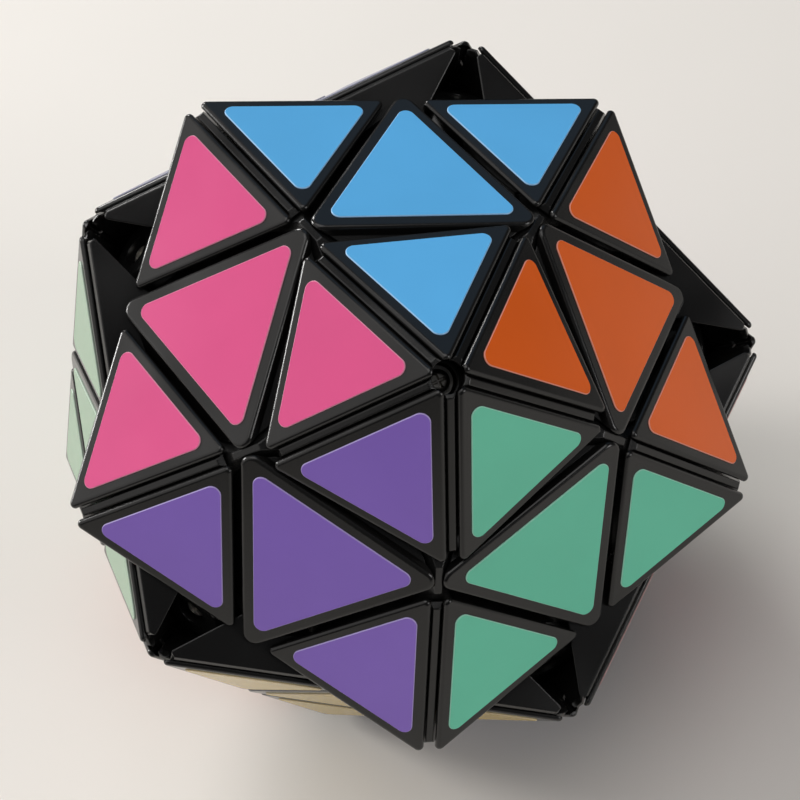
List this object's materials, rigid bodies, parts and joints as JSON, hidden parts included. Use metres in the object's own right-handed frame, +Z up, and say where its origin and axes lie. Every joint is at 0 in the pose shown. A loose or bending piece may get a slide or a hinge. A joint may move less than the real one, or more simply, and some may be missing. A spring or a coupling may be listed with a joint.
{
  "type": "icosahedral twisty puzzle",
  "caption": "Icosahedral twisty puzzle with triangular plates that turn round its vertices, standing on one face with a cap mid-turn.",
  "frame": {"origin": "centre of the triangular face that the puzzle stands on, at the outer surface of its sticker", "axes": "+Z up from that face; the axis of the turned cap leans from +Z towards -Y by 37.4 degrees"},
  "size_m": [0.1045, 0.1175, 0.1035],
  "materials": {
    "plate_abs": "satin",
    "inner_abs": "as moulded",
    "screw_steel": "plated",
    "spring_steel": "drawn",
    "vinyl_teal": "gloss vinyl",
    "vinyl_orange": "gloss vinyl",
    "vinyl_blue": "gloss vinyl",
    "vinyl_pink": "gloss vinyl",
    "vinyl_purple": "gloss vinyl",
    "vinyl_red": "gloss vinyl",
    "vinyl_white": "gloss vinyl",
    "vinyl_navy": "gloss vinyl",
    "vinyl_mint": "gloss vinyl",
    "vinyl_yellow": "gloss vinyl",
    "vinyl_mixed": "gloss vinyl"
  },
  "bodies": {
    "root": {"band_face_centres": "plate_abs", "base_face_centres": "plate_abs", "core": "inner_abs", "hidden_edges": "inner_abs", "ring_corner_pieces": "plate_abs", "ring_edge_wedges": "plate_abs", "spring_washers": "spring_steel", "stickers_band_mint": "vinyl_mint", "stickers_band_navy": "vinyl_navy", "stickers_band_red": "vinyl_red", "stickers_band_white": "vinyl_white", "stickers_band_yellow": "vinyl_yellow", "stickers_base_blue": "vinyl_blue", "stickers_base_orange": "vinyl_orange", "stickers_base_pink": "vinyl_pink", "stickers_base_purple": "vinyl_purple", "stickers_base_teal": "vinyl_teal", "tension_screws": "screw_steel", "tension_springs": "spring_steel", "vertex_turrets": "inner_abs"},
    "cap": {"cap_centre_blue": "plate_abs", "cap_centre_orange": "plate_abs", "cap_centre_pink": "plate_abs", "cap_centre_purple": "plate_abs", "cap_centre_teal": "plate_abs", "cap_corner_pieces": "plate_abs", "cap_edge_wedges": "plate_abs", "cap_hidden_edges": "inner_abs", "cap_turret": "inner_abs", "stickers_cap_blue": "vinyl_blue", "stickers_cap_orange": "vinyl_orange", "stickers_cap_pink": "vinyl_pink", "stickers_cap_purple": "vinyl_purple", "stickers_cap_teal": "vinyl_teal"},
    "apex_tip": {"apex_tip_corner_pieces": "plate_abs", "apex_tip_edge_wedges": "plate_abs", "stickers_apex_tip_blue": "vinyl_blue", "stickers_apex_tip_orange": "vinyl_orange", "stickers_apex_tip_pink": "vinyl_pink", "stickers_apex_tip_purple": "vinyl_purple", "stickers_apex_tip_teal": "vinyl_teal"},
    "base_tip": {"base_tip_corner_pieces": "plate_abs", "base_tip_edge_wedges": "plate_abs", "base_tip_stickers": "vinyl_mixed"},
    "lower_tip_1": {"lower_tip_1_corner_pieces": "plate_abs", "lower_tip_1_edge_wedges": "plate_abs", "lower_tip_1_stickers": "vinyl_mixed"},
    "lower_tip_2": {"lower_tip_2_corner_pieces": "plate_abs", "lower_tip_2_edge_wedges": "plate_abs", "lower_tip_2_stickers": "vinyl_mixed"},
    "lower_tip_3": {"lower_tip_3_corner_pieces": "plate_abs", "lower_tip_3_edge_wedges": "plate_abs", "lower_tip_3_stickers": "vinyl_mixed"},
    "lower_tip_4": {"lower_tip_4_corner_pieces": "plate_abs", "lower_tip_4_edge_wedges": "plate_abs", "lower_tip_4_stickers": "vinyl_mixed"},
    "lower_tip_5": {"lower_tip_5_corner_pieces": "plate_abs", "lower_tip_5_edge_wedges": "plate_abs", "lower_tip_5_stickers": "vinyl_mixed"}
  },
  "joints": [
    {"name": "cap_turn", "type": "hinge", "parent": "root", "child": "cap", "pos_m": [0, 0, 0.04932], "axis": [0, -0.6071, 0.7947], "continuous": true},
    {"name": "apex_tip_turn", "type": "hinge", "parent": "cap", "child": "apex_tip", "pos_m": [0, 0, 0.04932], "axis": [0, -0.6071, 0.7947], "continuous": true},
    {"name": "base_tip_turn", "type": "hinge", "parent": "root", "child": "base_tip", "pos_m": [0, 0, 0.04932], "axis": [0, 0.6071, -0.7947], "continuous": true},
    {"name": "lower_tip_1_turn", "type": "hinge", "parent": "root", "child": "lower_tip_1", "pos_m": [0, 0, 0.04932], "axis": [0.5257, -0.3035, -0.7947], "continuous": true},
    {"name": "lower_tip_2_turn", "type": "hinge", "parent": "root", "child": "lower_tip_2", "pos_m": [0, 0, 0.04932], "axis": [0.8507, 0.4911, -0.1876], "continuous": true},
    {"name": "lower_tip_3_turn", "type": "hinge", "parent": "root", "child": "lower_tip_3", "pos_m": [0, 0, 0.04932], "axis": [0, 0.9822, 0.1876], "continuous": true},
    {"name": "lower_tip_4_turn", "type": "hinge", "parent": "root", "child": "lower_tip_4", "pos_m": [0, 0, 0.04932], "axis": [-0.8507, 0.4911, -0.1876], "continuous": true},
    {"name": "lower_tip_5_turn", "type": "hinge", "parent": "root", "child": "lower_tip_5", "pos_m": [0, 0, 0.04932], "axis": [-0.5257, -0.3035, -0.7947], "continuous": true}
  ]
}
